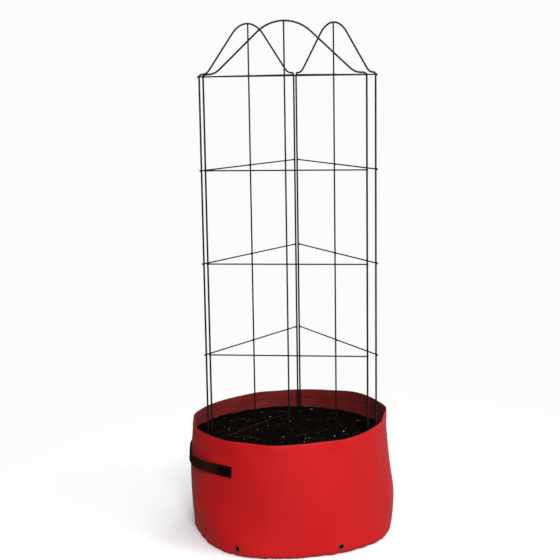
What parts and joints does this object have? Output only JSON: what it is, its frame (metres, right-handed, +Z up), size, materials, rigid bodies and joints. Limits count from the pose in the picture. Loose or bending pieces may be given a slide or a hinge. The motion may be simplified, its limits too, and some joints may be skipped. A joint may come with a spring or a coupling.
{
  "type": "fabric grow bag with wire plant support",
  "caption": "Round woven grow bag filled with compost, with webbing handles, brass drain eyelets and a triangle of arched wire panels that lift out.",
  "frame": {"origin": "middle of the bag's underside, on the surface it stands on", "axes": "+Z up the wire panels; +X along the front panel, to the viewer's right; -Y towards the front"},
  "size_m": [0.4656, 0.465, 1.1546],
  "materials": {
    "bag_cloth": "satin",
    "bag_thread": "matte",
    "binding_tape": "matte",
    "webbing": "matte",
    "webbing_thread": "matte",
    "eyelet_brass": "satin",
    "compost": "matte",
    "wire_coating": "satin"
  },
  "bodies": {
    "bag": {"wall_panel": "bag_cloth", "base_panel": "bag_cloth", "rim_hem": "bag_cloth", "rim_stitching": "bag_thread", "side_seam": "bag_cloth", "base_seam_binding": "binding_tape", "drain_eyelets": "eyelet_brass", "eyelet_washers": "eyelet_brass", "potting_compost": "compost", "left_handle_tabs": "webbing", "left_handle_stitching": "webbing_thread", "right_handle_tabs": "webbing", "right_handle_stitching": "webbing_thread"},
    "left_handle": {"left_handle_strap": "webbing"},
    "right_handle": {"right_handle_strap": "webbing"},
    "front_panel": {"front_panel_hoop": "wire_coating", "front_panel_centre_rod": "wire_coating", "front_panel_rung_1": "wire_coating", "front_panel_rung_2": "wire_coating", "front_panel_rung_3": "wire_coating", "front_panel_rung_4": "wire_coating"},
    "back_right_panel": {"back_right_panel_hoop": "wire_coating", "back_right_panel_centre_rod": "wire_coating", "back_right_panel_rung_1": "wire_coating", "back_right_panel_rung_2": "wire_coating", "back_right_panel_rung_3": "wire_coating", "back_right_panel_rung_4": "wire_coating"},
    "back_left_panel": {"back_left_panel_hoop": "wire_coating", "back_left_panel_centre_rod": "wire_coating", "back_left_panel_rung_1": "wire_coating", "back_left_panel_rung_2": "wire_coating", "back_left_panel_rung_3": "wire_coating", "back_left_panel_rung_4": "wire_coating"}
  },
  "joints": [
    {"name": "left_handle_swing", "type": "hinge", "parent": "bag", "child": "left_handle", "pos_m": [-0.18527, -0.1122, 0.1865], "axis": [-0.518, 0.8554, 0], "range_deg": [-28, 28]},
    {"name": "right_handle_swing", "type": "hinge", "parent": "bag", "child": "right_handle", "pos_m": [0.16096, 0.14493, 0.1865], "axis": [0.6691, -0.7431, 0], "range_deg": [-28, 28]},
    {"name": "front_panel_lift", "type": "slide", "parent": "bag", "child": "front_panel", "axis": [0, 0, 1], "range_m": [0, 0.26]},
    {"name": "back_right_panel_lift", "type": "slide", "parent": "bag", "child": "back_right_panel", "axis": [0, 0, 1], "range_m": [0, 0.26]},
    {"name": "back_left_panel_lift", "type": "slide", "parent": "bag", "child": "back_left_panel", "axis": [0, 0, 1], "range_m": [0, 0.26]}
  ]
}
